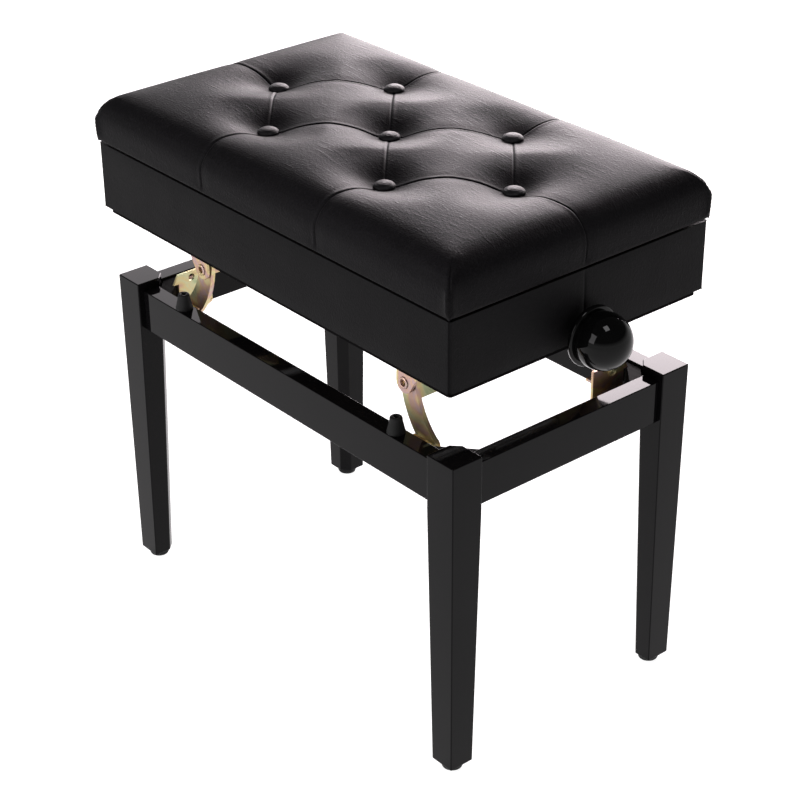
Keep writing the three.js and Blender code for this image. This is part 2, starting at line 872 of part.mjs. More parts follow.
const seat = new THREE.Group();
bench.add(seat);
for (const [sideName, t] of sides) {
  place(seat, `box_board_${sideName}`, longBoard(), leatherette, 1, t);
}
for (const [endName, s] of ends) {
  place(seat, `box_board_${endName}`, shortBoard(), leatherette, s, 1);
  place(seat, `seat_bracket_${endName}`, seatBracket(), zinc, s, 1);
}
place(seat, "compartment_floor", compartmentFloor(), plywood);
place(seat, "bottom_frame", bottomFrame(), paintedWood);
place(seat, "hinge_leaf_lower", hingeLeafLower(), steel);
place(seat, "hinge_pin", hingePin(), steel);

const lid = new THREE.Group();
bench.add(lid);
place(lid, "hinge_leaf_upper", hingeLeafUpper(), steel);
place(lid, "lid_board", lidBoard(), plywood);
place(lid, "cushion", cushion(), leatherette);
buttonPlaces.forEach(([x, y, rise], i) => {
  const mesh = place(lid, `button_${i + 1}`, button(rise), leatherette);
  mesh.position.set(x, y, 0);
});

export default bench;
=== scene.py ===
import json
import math

import bmesh
import bpy
import numpy as np
from mathutils import Matrix, Vector, noise
from mathutils.bvhtree import BVHTree


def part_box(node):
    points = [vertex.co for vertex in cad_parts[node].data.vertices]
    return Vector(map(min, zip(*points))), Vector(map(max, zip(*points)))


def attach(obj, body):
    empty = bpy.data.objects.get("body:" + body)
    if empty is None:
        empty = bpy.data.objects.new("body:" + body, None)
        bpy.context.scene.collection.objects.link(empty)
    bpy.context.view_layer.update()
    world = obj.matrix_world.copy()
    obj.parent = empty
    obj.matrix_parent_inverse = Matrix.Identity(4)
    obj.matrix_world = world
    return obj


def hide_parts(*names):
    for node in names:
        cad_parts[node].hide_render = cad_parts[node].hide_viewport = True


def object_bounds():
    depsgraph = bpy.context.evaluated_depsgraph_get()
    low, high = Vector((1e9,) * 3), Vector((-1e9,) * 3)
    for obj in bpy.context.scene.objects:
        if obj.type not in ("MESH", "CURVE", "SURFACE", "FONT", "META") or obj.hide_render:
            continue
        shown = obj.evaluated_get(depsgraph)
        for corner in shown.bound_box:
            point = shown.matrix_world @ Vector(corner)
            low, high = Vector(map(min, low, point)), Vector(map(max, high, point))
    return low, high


# Piano bench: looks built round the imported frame.
# Metres, +Z up, +X to the right knob, -Y to the front.

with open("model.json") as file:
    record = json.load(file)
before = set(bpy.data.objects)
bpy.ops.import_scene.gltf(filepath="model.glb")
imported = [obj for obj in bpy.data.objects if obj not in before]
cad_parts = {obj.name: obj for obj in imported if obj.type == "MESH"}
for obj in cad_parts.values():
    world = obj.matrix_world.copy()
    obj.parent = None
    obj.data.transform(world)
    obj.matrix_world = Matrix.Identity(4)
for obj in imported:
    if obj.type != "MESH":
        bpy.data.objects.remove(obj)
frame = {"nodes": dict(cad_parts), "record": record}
cadLow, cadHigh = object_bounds()
record = frame["record"]
slotOfNode = {row["node"]: row["material_slot"] for row in record["subparts"]}
bodyOfNode = {node: body for body, nodes in record["behaviour"]["bodies"].items() for node in nodes}
sides = ("front", "back")
ends = ("left", "right")
corners = [f"{side}_{end}" for side in sides for end in ends]
print("frame loaded", len(slotOfNode), "nodes")


# Camera, lights and floor.

cameraSetup = {
    "azimuth": 50.16,
    "elevation": 29.4,
    "distance": 2.21733,
    "aim": Vector((0, 0, 0.2448)),
    "roll": -0.55,
    "lens": 94.03,
    "sensor": 36,
    "shift": (0.0097, 0.0132),
}

seatMiddle = Vector((0, 0, 0.45))  # where the lights point

# glow is the brightness of the lit panel itself
studioLights = {
    "frontPanel": {
        "at": (-0.35, -2.2, 1.5),
        "size": (2.1, 1.4),
        "glow": 4.2,
        "tint": (1, 0.98, 1),
    },
    "topPanel": {
        "at": (0.9, -0.15, 2.6),
        "size": (0.65, 0.8),
        "glow": 8.0,
        "tint": (1, 0.98, 1),
    },
    "backPanel": {
        "at": (-0.98, 1.68, 1.02),
        "size": (1.75, 0.98),
        "glow": 20.5,
        "tint": (1, 0.9, 0.935),
    },
    "leftPanel": {
        "at": (-2.3, 0.9, 1.3),
        "size": (1.0, 1.0),
        "glow": 3.0,
        "tint": (1, 0.94, 0.97),
    },
}

floorSetup = {"radius": 40, "sides": 96, "tone": 0.3, "sky": 0.06, "horizon": 1.0, "glow": 0.93}


def turnedTo(direction):
    return direction.to_track_quat("Z", "Y").to_matrix().to_4x4()


def linkNew(name, data):
    thing = bpy.data.objects.new(name, data)
    bpy.context.scene.collection.objects.link(thing)
    return thing


def placeCamera(setup):
    azimuth, elevation = math.radians(setup["azimuth"]), math.radians(setup["elevation"])
    back = Vector((math.sin(azimuth), -math.cos(azimuth), 0)) * math.cos(elevation)
    back.z = math.sin(elevation)
    lens = bpy.data.cameras.new("benchCamera")
    lens.lens = setup["lens"]
    lens.sensor_width = setup["sensor"]
    lens.shift_x, lens.shift_y = setup["shift"]
    camera = linkNew("benchCamera", lens)
    roll = Matrix.Rotation(math.radians(setup["roll"]), 4, "Z")
    spot = Matrix.Translation(setup["aim"] + back * setup["distance"])
    camera.matrix_world = spot @ turnedTo(back) @ roll
    bpy.context.scene.camera = camera


def placeLight(name, at, size, glow, tint):
    lamp = bpy.data.lights.new(name, "AREA")
    lamp.shape = "RECTANGLE"
    lamp.size, lamp.size_y = size
    lamp.color = tint
    lamp.energy = glow * math.pi * size[0] * size[1]
    light = linkNew(name, lamp)
    light.matrix_world = Matrix.Translation(at) @ turnedTo(Vector(at) - seatMiddle)


# Shader nodes as Python expressions.


class Wire:  # one output socket; arithmetic on it adds Math nodes
    def __init__(self, maker, socket):
        self.maker = maker
        self.socket = socket

    def calc(self, operation, first, second=0.0):
        return self.maker.node("ShaderNodeMath", {"operation": operation}, {0: first, 1: second})

    def __add__(self, other):
        return self.calc("ADD", self, other)

    def __radd__(self, other):
        return self.calc("ADD", other, self)

    def __sub__(self, other):
        return self.calc("SUBTRACT", self, other)

    def __rsub__(self, other):
        return self.calc("SUBTRACT", other, self)

    def __mul__(self, other):
        return self.calc("MULTIPLY", self, other)

    def __rmul__(self, other):
        return self.calc("MULTIPLY", other, self)


class NodeMaker:  # builds one node tree
    def __init__(self, tree):
        self.tree = tree

    def node(self, kind, settings=None, values=None, output=0):
        made = self.tree.nodes.new(kind)
        for key, value in (settings or {}).items():
            if key == "stops":
                self.setStops(made.color_ramp, value)
            else:
                setattr(made, key, value)
        for key, value in (values or {}).items():
            if isinstance(value, Wire):
                self.tree.links.new(value.socket, made.inputs[key])
            else:
                made.inputs[key].default_value = value
        return Wire(self, made.outputs[output])

    def setStops(self, ramp, stops):
        while len(ramp.elements) < len(stops):
            ramp.elements.new(0.5)
        for element, (place, colour) in zip(ramp.elements, stops):
            element.position = place
            element.color = (*colour, 1)


class Finish(NodeMaker):  # a material with its Principled shader
    def __init__(self, name, **constants):
        self.material = bpy.data.materials.new(name)
        self.material.use_nodes = True
        super().__init__(self.material.node_tree)
        self.shader = self.tree.nodes["Principled BSDF"]
        self.material.diffuse_color = (0.03, 0.03, 0.03, 1)
        for key, value in constants.items():
            self.shader.inputs[key.replace("_", " ")].default_value = value

    def feed(self, socket, wire):
        self.tree.links.new(wire.socket, self.shader.inputs[socket])

    def coords(self, scale=(1, 1, 1), turn=(0, 0, 0)):
        spot = self.node("ShaderNodeTexCoord", output=3)
        values = {"Vector": spot, "Scale": scale, "Rotation": turn}
        return self.node("ShaderNodeMapping", values=values)

    def noise(self, scale, detail=3.0, rough=0.55, warp=0.0, where=None):
        values = {
            "Vector": where or self.coords(),
            "Scale": scale,
            "Detail": detail,
            "Roughness": rough,
            "Distortion": warp,
        }
        return self.node("ShaderNodeTexNoise", values=values)

    def spread(self, wire, low, high, fromLow=0.3, fromHigh=0.7):
        values = {0: wire, 1: fromLow, 2: fromHigh, 3: low, 4: high}
        return self.node("ShaderNodeMapRange", values=values)

    def blendColours(self, factor, first, second):
        values = {0: factor, 6: (*first, 1), 7: (*second, 1)}
        return self.node("ShaderNodeMix", {"data_type": "RGBA"}, values, output=2)

    def ramp(self, factor, stops):
        return self.node("ShaderNodeValToRGB", {"stops": stops}, {0: factor})

    def relief(self, height):  # height in metres
        values = {"Height": height, "Distance": 1.0, "Strength": 1.0}
        self.feed("Normal", self.node("ShaderNodeBump", values=values))


# Finishes, one function each.


def makeLeatherette(name, settings):
    skin = Finish(name, IOR=settings["ior"])
    cells = skin.node(
        "ShaderNodeTexVoronoi",
        {"feature": "SMOOTH_F1"},
        {"Vector": skin.coords(), "Scale": settings["grainScale"], "Smoothness": 0.35},
    )
    turned = skin.coords((1, 1, 1), (0.3, 0.2, 0.5))
    creases = skin.noise(settings["creaseScale"], 4, 0.6, 1.4, turned)
    drawn = skin.coords((0.4, 2.4, 1), (0, 0, 0.7))
    long = skin.noise(settings["creaseScale"] * 0.55, 3, 0.5, 0.8, drawn)
    patches = skin.noise(9.0, 2, 0.5)
    sharp = (creases - 0.5) * (creases - 0.5)
    folds = (long - 0.5) * (long - 0.5)
    height = (
        cells * settings["grainDepth"]
        + sharp * settings["creaseDepth"]
        + folds * settings["foldDepth"]
    )
    skin.relief(height)
    tone = skin.spread(cells * 0.5 + patches * 0.5, 0, 1, 0.25, 0.65)
    skin.feed("Base Color", skin.blendColours(tone, settings["dark"], settings["pale"]))
    skin.feed("Roughness", skin.spread(patches + cells * 0.4, *settings["rough"], 0.4, 0.9))
    return skin.material


def makeLacquer():
    gloss = Finish("blackLacquer", IOR=1.175)
    waves = gloss.noise(160, 2, 0.4)
    smears = gloss.noise(22, 3, 0.6, 0.5)
    gloss.relief(waves * 0.0000045)
    dark, pale = (0.0022, 0.002, 0.0023), (0.004, 0.0037, 0.0041)
    gloss.feed("Base Color", gloss.blendColours(smears, dark, pale))
    gloss.feed("Roughness", gloss.spread(smears, 0.025, 0.075))
    return gloss.material


def makeZinc():
    plate = Finish("yellowZinc")
    drift = plate.noise(26, 3, 0.55, 1.8)
    fine = plate.noise(420, 3, 0.6)
    stops = [
        (0.30, (0.36, 0.42, 0.24)),
        (0.40, (0.56, 0.54, 0.32)),
        (0.48, (0.62, 0.50, 0.25)),
        (0.56, (0.56, 0.36, 0.25)),
        (0.64, (0.48, 0.33, 0.33)),
        (0.74, (0.50, 0.50, 0.28)),
    ]
    plate.feed("Base Color", plate.ramp(drift, stops))
    plate.shader.inputs["Metallic"].default_value = 0.8
    plate.feed("Roughness", plate.spread(drift * 0.5 + fine * 0.5, 0.3, 0.48))
    plate.relief(fine * 0.00002)
    return plate.material


def makeSteel():
    turned = Finish("turnedSteel", Metallic=1.0)
    lines = turned.noise(300, 3, 0.6, 0, turned.coords((6, 1, 1)))
    stain = turned.noise(30, 3)
    turned.feed("Base Color", turned.blendColours(stain, (0.36, 0.36, 0.37), (0.56, 0.56, 0.57)))
    turned.feed("Roughness", turned.spread(lines * 0.6 + stain * 0.4, 0.18, 0.42))
    turned.relief(lines * 0.000012)
    return turned.material


def makeRubber(name, rough):
    moulded = Finish(name, IOR=1.3)
    grit = moulded.noise(900, 3, 0.6)
    bloom = moulded.noise(60, 3)
    dark, pale = (0.004, 0.004, 0.004), (0.009, 0.0088, 0.009)
    moulded.feed("Base Color", moulded.blendColours(bloom, dark, pale))
    moulded.feed("Roughness", moulded.spread(bloom, *rough))
    moulded.relief(grit * 0.00003)
    return moulded.material


def makeKnobPlastic():
    polished = Finish("polishedPlastic", IOR=1.24)
    haze = polished.noise(40, 3)
    dark, pale = (0.0015, 0.0015, 0.0016), (0.003, 0.003, 0.003)
    polished.feed("Base Color", polished.blendColours(haze, dark, pale))
    polished.feed("Roughness", polished.spread(haze, 0.02, 0.05))
    polished.relief(polished.noise(120, 2) * 0.000002)
    return polished.material


def makePlywood(name, shade):
    sheet = Finish(name, IOR=1.3)
    grain = sheet.noise(34, 5, 0.6, 0.9, sheet.coords((0.5, 7, 1)))
    pores = sheet.noise(240, 3, 0.6, 0, sheet.coords((0.3, 5, 1)))
    plies = sheet.node(
        "ShaderNodeTexWave",
        {"bands_direction": "Z", "wave_profile": "SIN"},
        {"Vector": sheet.coords(), "Scale": 100, "Distortion": 0.2},
    )
    tones = ((0.25, (0.28, 0.17, 0.085)), (0.5, (0.46, 0.31, 0.17)), (0.75, (0.58, 0.42, 0.25)))
    stops = [(place, tuple(shade * level for level in tone)) for place, tone in tones]
    sheet.feed("Base Color", sheet.ramp(grain * 0.75 + plies * 0.25, stops))
    sheet.feed("Roughness", sheet.spread(pores, 0.55, 0.8))
    sheet.relief(pores * 0.00008 + grain * 0.00005)
    return sheet.material


def makeStainedWood():
    stained = Finish("stainedWood", IOR=1.05)
    grain = stained.noise(30, 4, 0.6, 0.6, stained.coords((1, 8, 1)))
    dark, pale = (0.0015, 0.0013, 0.0015), (0.0035, 0.0032, 0.0034)
    stained.feed("Base Color", stained.blendColours(grain, dark, pale))
    stained.feed("Roughness", stained.spread(grain, 0.4, 0.62))
    stained.relief(grain * 0.0001)
    return stained.material


def makeThread():
    thread = Finish("blackThread", IOR=1.15)
    twist = thread.noise(900, 2)
    dark, pale = (0.002, 0.002, 0.002), (0.008, 0.008, 0.008)
    thread.feed("Base Color", thread.blendColours(twist, dark, pale))
    thread.feed("Roughness", thread.spread(twist, 0.6, 0.8))
    return thread.material


seatSkin = {
    "ior": 1.1,
    "grainScale": 560,
    "grainDepth": 0.00014,
    "creaseScale": 140,
    "creaseDepth": 0.0026,
    "foldDepth": 0.0024,
    "dark": (0.0042, 0.0039, 0.0044),
    "pale": (0.0078, 0.0073, 0.0081),
    "rough": (0.4, 0.5),
}
boxSkin = {
    "ior": 1.14,
    "grainScale": 560,
    "grainDepth": 0.0001,
    "creaseScale": 110,
    "creaseDepth": 0.0014,
    "foldDepth": 0.0012,
    "dark": (0.0024, 0.0022, 0.0026),
    "pale": (0.0048, 0.0045, 0.005),
    "rough": (0.46, 0.58),
}
finishes = {
    "black_lacquer": makeLacquer(),
    "black_stained_wood": makeStainedWood(),
    "plywood": makePlywood("plywood", 1.0),
    "black_leatherette": makeLeatherette("boxLeatherette", boxSkin),
    "seat_leatherette": makeLeatherette("seatLeatherette", seatSkin),
    "button_leatherette": makeLeatherette("buttonLeatherette", {**seatSkin, "ior": 1.22}),
    "yellow_zinc": makeZinc(),
    "plain_steel": makeSteel(),
    "black_rubber": makeRubber("mouldedRubber", (0.55, 0.8)),
    "black_gloss_plastic": makeKnobPlastic(),
}
threadFinish = makeThread()
darkSheet = makePlywood("darkPlywood", 0.03)
print("finishes made", len(finishes))


def makeFloor(setup):
    shape = bmesh.new()
    bmesh.ops.create_circle(shape, cap_ends=True, segments=setup["sides"], radius=setup["radius"])
    mesh = bpy.data.meshes.new("studioFloor")
    shape.to_mesh(mesh)
    shape.free()
    floor = linkNew("studioFloor", mesh)
    tone = setup["tone"]
    paper = Finish("floorPaper", Roughness=0.9, Emission_Strength=setup["glow"])
    paper.shader.inputs["Emission Color"].default_value = (1, 1, 1, 1)
    mottle = paper.noise(1.2, 2)
    paper.feed("Base Color", paper.blendColours(mottle, (tone, tone, tone), (tone + 0.02,) * 3))
    mesh.materials.append(paper.material)


def makeSky(setup):
    world = bpy.data.worlds.new("studioSky")
    bpy.context.scene.world = world
    world.use_nodes = True
    sky = NodeMaker(world.node_tree)
    spot = sky.node("ShaderNodeTexCoord", output=0)
    height = sky.node("ShaderNodeSeparateXYZ", values={0: spot}, output=2)
    low, high = (setup["horizon"],) * 3, (setup["sky"],) * 3
    tone = sky.node("ShaderNodeValToRGB", {"stops": [(0.06, low), (0.3, high)]}, {0: height})
    back = world.node_tree.nodes["Background"]
    world.node_tree.links.new(tone.socket, back.inputs[0])


bpy.context.scene.view_settings.view_transform = "Standard"
placeCamera(cameraSetup)
for lightName, light in studioLights.items():
    placeLight(lightName, **light)
makeFloor(floorSetup)
makeSky(floorSetup)
print("studio ready")


# Helpers for making pieces.


# Shading normals weighted by area, so that wide faces stay flat beside narrow rounded edges.
def weighNormals(mesh, smooth):
    shape = bmesh.new()
    shape.from_mesh(mesh)
    areas = [f.calc_area() for f in shape.faces]
    limit = math.cos(math.radians(smooth + 8))
    normals = []
    for face in shape.faces:
        for corner in face.loops:
            total = Vector()
            for other in corner.vert.link_faces:
                if face.normal.dot(other.normal) > limit:
                    total += other.normal * areas[other.index]
            normals.append(total.normalized() if total.length > 0 else face.normal.copy())
    shape.free()
    mesh.normals_split_custom_set(normals)


def finishPiece(name, shape, node, material=None, replaced=(), smooth=38):
    mesh = bpy.data.meshes.new(name)
    shape.to_mesh(mesh)
    shape.free()
    mesh.shade_smooth()
    mesh.set_sharp_from_angle(angle=math.radians(smooth))
    weighNormals(mesh, smooth)
    piece = linkNew(name, mesh)
    mesh.materials.append(material or finishes[slotOfNode[node]])
    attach(piece, bodyOfNode[node])
    if replaced:
        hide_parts(*replaced)
    return piece


def copyOfNode(node):  # the node's own faces, joined up and with flat ones made whole
    shape = bmesh.new()
    shape.from_mesh(frame["nodes"][node].data)
    bmesh.ops.remove_doubles(shape, verts=shape.verts, dist=0.00001)
    flat = math.radians(1)
    bmesh.ops.dissolve_limit(shape, angle_limit=flat, verts=shape.verts, edges=shape.edges)
    return shape


def rise(edge):
    return abs(edge.verts[0].co.z - edge.verts[1].co.z)


def edgesOver(shape, angle):
    limit = math.radians(angle)
    return [e for e in shape.edges if len(e.link_faces) == 2 and e.calc_face_angle(0) > limit]


def easeEdges(shape, edges, width, segments=2):
    bmesh.ops.bevel(
        shape,
        geom=edges,
        offset=width,
        offset_type="OFFSET",
        segments=segments,
        profile=0.5,
        affect="EDGES",
        clamp_overlap=True,
        material=-1,
    )


def easedPiece(node, width, segments=2, angle=30, material=None):
    shape = copyOfNode(node)
    easeEdges(shape, edgesOver(shape, angle), width, segments)
    return finishPiece(f"{node}_eased", shape, node, material, [node])


# A turned shape about +Z from (radius, height) pairs; corners are rounded first.
def spinProfile(profile, steps, rounding=0.0, keep=()):
    shape = bmesh.new()
    verts = [shape.verts.new((radius, 0, height)) for radius, height in profile]
    for first, second in zip(verts, verts[1:]):
        shape.edges.new((first, second))
    if rounding:
        rounded = [v for i, v in enumerate(verts) if 0 < i < len(verts) - 1 and i not in keep]
        bmesh.ops.bevel(
            shape,
            geom=rounded,
            offset=rounding,
            offset_type="OFFSET",
            segments=3,
            profile=0.5,
            affect="VERTICES",
            clamp_overlap=True,
            material=-1,
        )
    bmesh.ops.spin(
        shape,
        geom=shape.verts[:] + shape.edges[:],
        cent=(0, 0, 0),
        axis=(0, 0, 1),
        dvec=(0, 0, 0),
        angle=2 * math.pi,
        steps=steps,
        use_merge=True,
    )
    bmesh.ops.remove_doubles(shape, verts=shape.verts, dist=0.000005)
    bmesh.ops.recalc_face_normals(shape, faces=shape.faces)
    return shape


def moveShape(shape, matrix):
    bmesh.ops.transform(shape, matrix=matrix, verts=shape.verts)
    if matrix.determinant() < 0:
        bmesh.ops.reverse_faces(shape, faces=shape.faces)


def mergeInto(shape, other):
    mesh = bpy.data.meshes.new("joining")
    other.to_mesh(mesh)
    other.free()
    shape.from_mesh(mesh)
    bpy.data.meshes.remove(mesh)


def middleOf(node):
    low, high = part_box(node)
    return (low + high) / 2


# Base: lacquered wood, feet and bumpers.

baseEdges = {"leg": 0.0011, "rail": 0.0009, "brace": 0.0008, "segments": 3}

for corner in corners:
    easedPiece(f"leg_{corner}", baseEdges["leg"], baseEdges["segments"])
    easedPiece(f"corner_brace_{corner}", baseEdges["brace"])
for side in sides + ends:
    easedPiece(f"rail_{side}", baseEdges["rail"], baseEdges["segments"])

glide = {"steps": 48, "dish": 0.0006}


def makeGlide(corner):
    node = f"foot_{corner}"
    low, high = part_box(node)
    middle = (low + high) / 2
    radius, top = (high.x - low.x) / 2, high.z
    profile = [
        (0, glide["dish"]),
        (radius * 0.6, glide["dish"]),
        (radius * 0.68, 0),
        (radius - 0.001, 0),
        (radius, top * 0.35),
        (radius, top - 0.0015),
        (radius - 0.0012, top),
        (0, top),
    ]
    shape = spinProfile(profile, glide["steps"], 0.0005)
    moveShape(shape, Matrix.Translation((middle.x, middle.y, 0)))
    finishPiece(f"{node}_turned", shape, node, None, [node])


bumper = {"steps": 48, "wall": 0.0026, "well": 0.011, "flange": 0.0016}


def makeBumper(corner):
    node = f"bumper_{corner}"
    low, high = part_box(node)
    middle = (low + high) / 2
    radius, height = (high.x - low.x) / 2, high.z - low.z
    neck = radius * 0.67
    profile = [
        (0, 0),
        (radius, 0),
        (radius, bumper["flange"]),
        (radius * 0.93, height * 0.2),
        (neck * 1.06, height * 0.72),
        (neck, height - 0.001),
        (neck - 0.001, height),
        (bumper["wall"] + 0.0004, height),
        (bumper["wall"], height - 0.0006),
        (bumper["wall"], height - bumper["well"]),
        (0, height - bumper["well"]),
    ]
    shape = spinProfile(profile, bumper["steps"], 0.0006, (1, 8))
    moveShape(shape, Matrix.Translation((middle.x, middle.y, low.z)))
    finishPiece(f"{node}_moulded", shape, node, None, [node])


for corner in corners:
    makeGlide(corner)
    makeBumper(corner)
print("base made")


# Lift: plates, rivets, rod and knobs.

plateEdges = {"bracket": 0.00045, "frame": 0.0005, "link": 0.0004, "channel": 0.00045}

for corner in corners:
    easedPiece(f"base_bracket_{corner}", plateEdges["bracket"])
    easedPiece(f"link_{corner}", plateEdges["link"], 2, 35)
for end in ends:
    easedPiece(f"lift_frame_{end}", plateEdges["frame"], 2, 35)
    easedPiece(f"seat_bracket_{end}", plateEdges["channel"])
    easedPiece(f"nut_{end}", 0.0006)

rosette = {
    "radius": 0.0062,
    "height": 0.0016,
    "inward": 0.0295,
    "down": 0.007,
    "back": 0.0215,
    "steps": 36,
}


# A pressed head that fills the web's hole on one corner.
def makeRosette(corner):
    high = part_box(f"base_bracket_{corner}")[1]
    radius, height = rosette["radius"], rosette["height"]
    profile = [
        (0, height * 0.55),
        (radius * 0.2, height * 0.4),
        (radius * 0.32, height),
        (radius * 0.5, height * 0.9),
        (radius * 0.6, height * 0.45),
        (radius * 0.78, height * 0.8),
        (radius, height * 0.3),
        (radius, 0),
        (0, 0),
    ]
    shape = spinProfile(profile, rosette["steps"])
    spot = high - Vector((rosette["back"], rosette["inward"], rosette["down"]))
    moveShape(shape, Matrix.Translation(spot) @ Matrix.Rotation(math.pi / 2, 4, "Y"))
    finishPiece("web_rosette", shape, f"base_bracket_{corner}")


makeRosette("back_right")

hollowRivet = {"bore": 0.0035, "tube": 0.0046, "lip": 0.0062, "curl": 0.0014, "steps": 40}


def makeRivet(corner):
    node = f"link_rivet_{corner}"
    low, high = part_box(node)
    middle = (low + high) / 2
    half = (high.y - low.y) / 2
    bore, tube, lip, curl = (hollowRivet[key] for key in ("bore", "tube", "lip", "curl"))
    profile = [
        (bore, 0),
        (bore, half - curl * 0.5),
        (bore + 0.0004, half - curl * 0.15),
        ((bore + lip) / 2, half),
        (lip - 0.0003, half - curl * 0.3),
        (lip, half - curl * 0.8),
        (lip - 0.0003, half - curl),
        (tube, half - curl),
        (tube, 0),
    ]
    shape = spinProfile(profile, hollowRivet["steps"])
    geometry = shape.verts[:] + shape.edges[:] + shape.faces[:]
    bmesh.ops.mirror(shape, geom=geometry, axis="Z", merge_dist=0.00001)
    bmesh.ops.remove_doubles(shape, verts=shape.verts, dist=0.00001)
    bmesh.ops.recalc_face_normals(shape, faces=shape.faces)
    moveShape(shape, Matrix.Translation(middle) @ Matrix.Rotation(math.pi / 2, 4, "X"))
    finishPiece(f"{node}_curled", shape, node, None, [node])


for corner in corners:
    makeRivet(corner)

threadShape = {
    "root": 0.0056,
    "crest": 0.007,
    "lead": 0.006,
    "from": 0.062,
    "shortOfEnd": 0.07,
    "journal": 0.005,
    "steps": 24,
    "plainSteps": 48,
}


# The rod is one screw on each half, right-hand and left-hand, and a plain middle.
def makeSpindle():
    low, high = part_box("spindle")
    middle = (low + high) / 2
    crest, root, lead, start = (threadShape[key] for key in ("crest", "root", "lead", "from"))
    turns = int((cadHigh.x - threadShape["shortOfEnd"] - start) / lead) - 1
    shape = bmesh.new()
    tooth = [(root, 0), (crest, 0.25), (crest, 0.5), (root, 0.75), (root, 1)]  # along in leads
    verts = [shape.verts.new((radius, 0, start + along * lead)) for radius, along in tooth]
    for first, second in zip(verts, verts[1:]):
        shape.edges.new((first, second))
    steps = threadShape["steps"] * turns
    bmesh.ops.spin(
        shape,
        geom=shape.verts[:] + shape.edges[:],
        cent=(0, 0, 0),
        axis=(0, 0, 1),
        dvec=(0, 0, lead / threadShape["steps"]),
        angle=2 * math.pi * turns,
        steps=steps,
        use_merge=False,
    )
    bmesh.ops.remove_doubles(shape, verts=shape.verts, dist=0.00003)
    bmesh.ops.recalc_face_normals(shape, faces=shape.faces)
    end = start + lead * (turns + 1)
    tail = [
        (0, -0.0001),
        (crest, -0.0001),
        (crest, start + 0.001),
        (root, start + lead * 0.6),
        (0, start + lead * 0.6),
    ]
    mergeInto(shape, spinProfile(tail, threadShape["plainSteps"], 0))
    shank, journal = high.x, threadShape["journal"]
    stub = [
        (0, end - lead * 0.6),
        (root, end - lead * 0.6),
        (crest, end - 0.0005),
        (crest, end + 0.004),
        (journal, end + 0.0045),
        (journal, shank - 0.001),
        (journal - 0.0008, shank),
        (0, shank),
    ]
    mergeInto(shape, spinProfile(stub, threadShape["plainSteps"], 0))
    geometry = shape.verts[:] + shape.edges[:] + shape.faces[:]
    bmesh.ops.mirror(shape, geom=geometry, axis="Z", merge_dist=0.0)
    bmesh.ops.recalc_face_normals(shape, faces=shape.faces)
    lay = Matrix.Translation((0, middle.y, middle.z)) @ Matrix.Rotation(math.pi / 2, 4, "Y")
    moveShape(shape, lay)
    finishPiece("spindle_threaded", shape, "spindle", None, ["spindle"], 30)


makeSpindle()

knobShape = {
    "ball": 0.028,
    "neck": 0.0118,
    "disc": 0.0303,
    "discFrom": 0.0085,
    "discTo": 0.014,
    "washer": 0.0125,
    "bore": 0.0053,
    "boreDepth": 0.017,
    "seat": 0.0011,
    "rounds": 26,  # rings over the ball
    "steps": 96,
}


def makeKnob(end, side):
    node = f"knob_{end}"
    low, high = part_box(node)
    middle = (low + high) / 2
    length = high.x - low.x
    ball, neck, disc = (knobShape[key] for key in ("ball", "neck", "disc"))
    under, over = knobShape["discFrom"], knobShape["discTo"]
    bore, seat = knobShape["bore"], knobShape["seat"]
    centre = length - ball
    meet = math.acos((over - centre) / ball)
    rounds = knobShape["rounds"]
    angles = [meet * i / rounds for i in range(rounds + 1)]
    crown = [(ball * math.sin(a), centre + ball * math.cos(a)) for a in angles]
    crown[0] = (0, length)
    profile = [
        *crown,
        (crown[-1][0] + 0.0004, over),
        (disc - 0.0018, over),
        (disc - 0.0005, over - 0.0006),
        (disc, over - 0.0019),
        (disc, under + 0.0019),
        (disc - 0.0005, under + 0.0006),
        (disc - 0.0018, under),
        (neck + 0.0006, under),
        (neck, under - 0.0006),
        (neck, seat),
        (bore, seat),
        (bore, knobShape["boreDepth"]),
        (0, knobShape["boreDepth"]),
    ]
    shape = spinProfile(profile, knobShape["steps"])
    place = Matrix.Translation((side * (abs(middle.x) - length / 2), middle.y, middle.z))
    place = place @ Matrix.Rotation(side * math.pi / 2, 4, "Y")
    moveShape(shape, place)
    finishPiece(f"{node}_polished", shape, node, None, [node])
    washer = knobShape["washer"]
    ring = [
        (bore, 0.001),
        (washer - 0.0004, 0.001),
        (washer, 0.0007),
        (washer, 0.0003),
        (washer - 0.0003, 0),
        (bore, 0),
        (bore, 0.001),
    ]
    shape = spinProfile(ring, knobShape["steps"])
    moveShape(shape, place)
    finishPiece(f"{node}_washer", shape, "spindle")


for end, side in zip(ends, (-1, 1)):
    makeKnob(end, side)
print("lift made")


# Box: leatherette wrapped round four boards.

boxCover = {
    "cornerRadius": 0.0018,
    "lowerEdge": 0.005,
    "upperEdge": 0.0012,
    "board": 0.012,
    "puff": 0.0009,
    "skin": 0.0011,
    "seamDepth": 0.0008,
    "seamWidth": 0.0013,
    "seamCuts": (0.0012, 0.0025, 0.0068, 0.0076, 0.008, 0.0082),
    "ripple": 0.0003,
    "step": 0.006,
    "levels": 12,
}


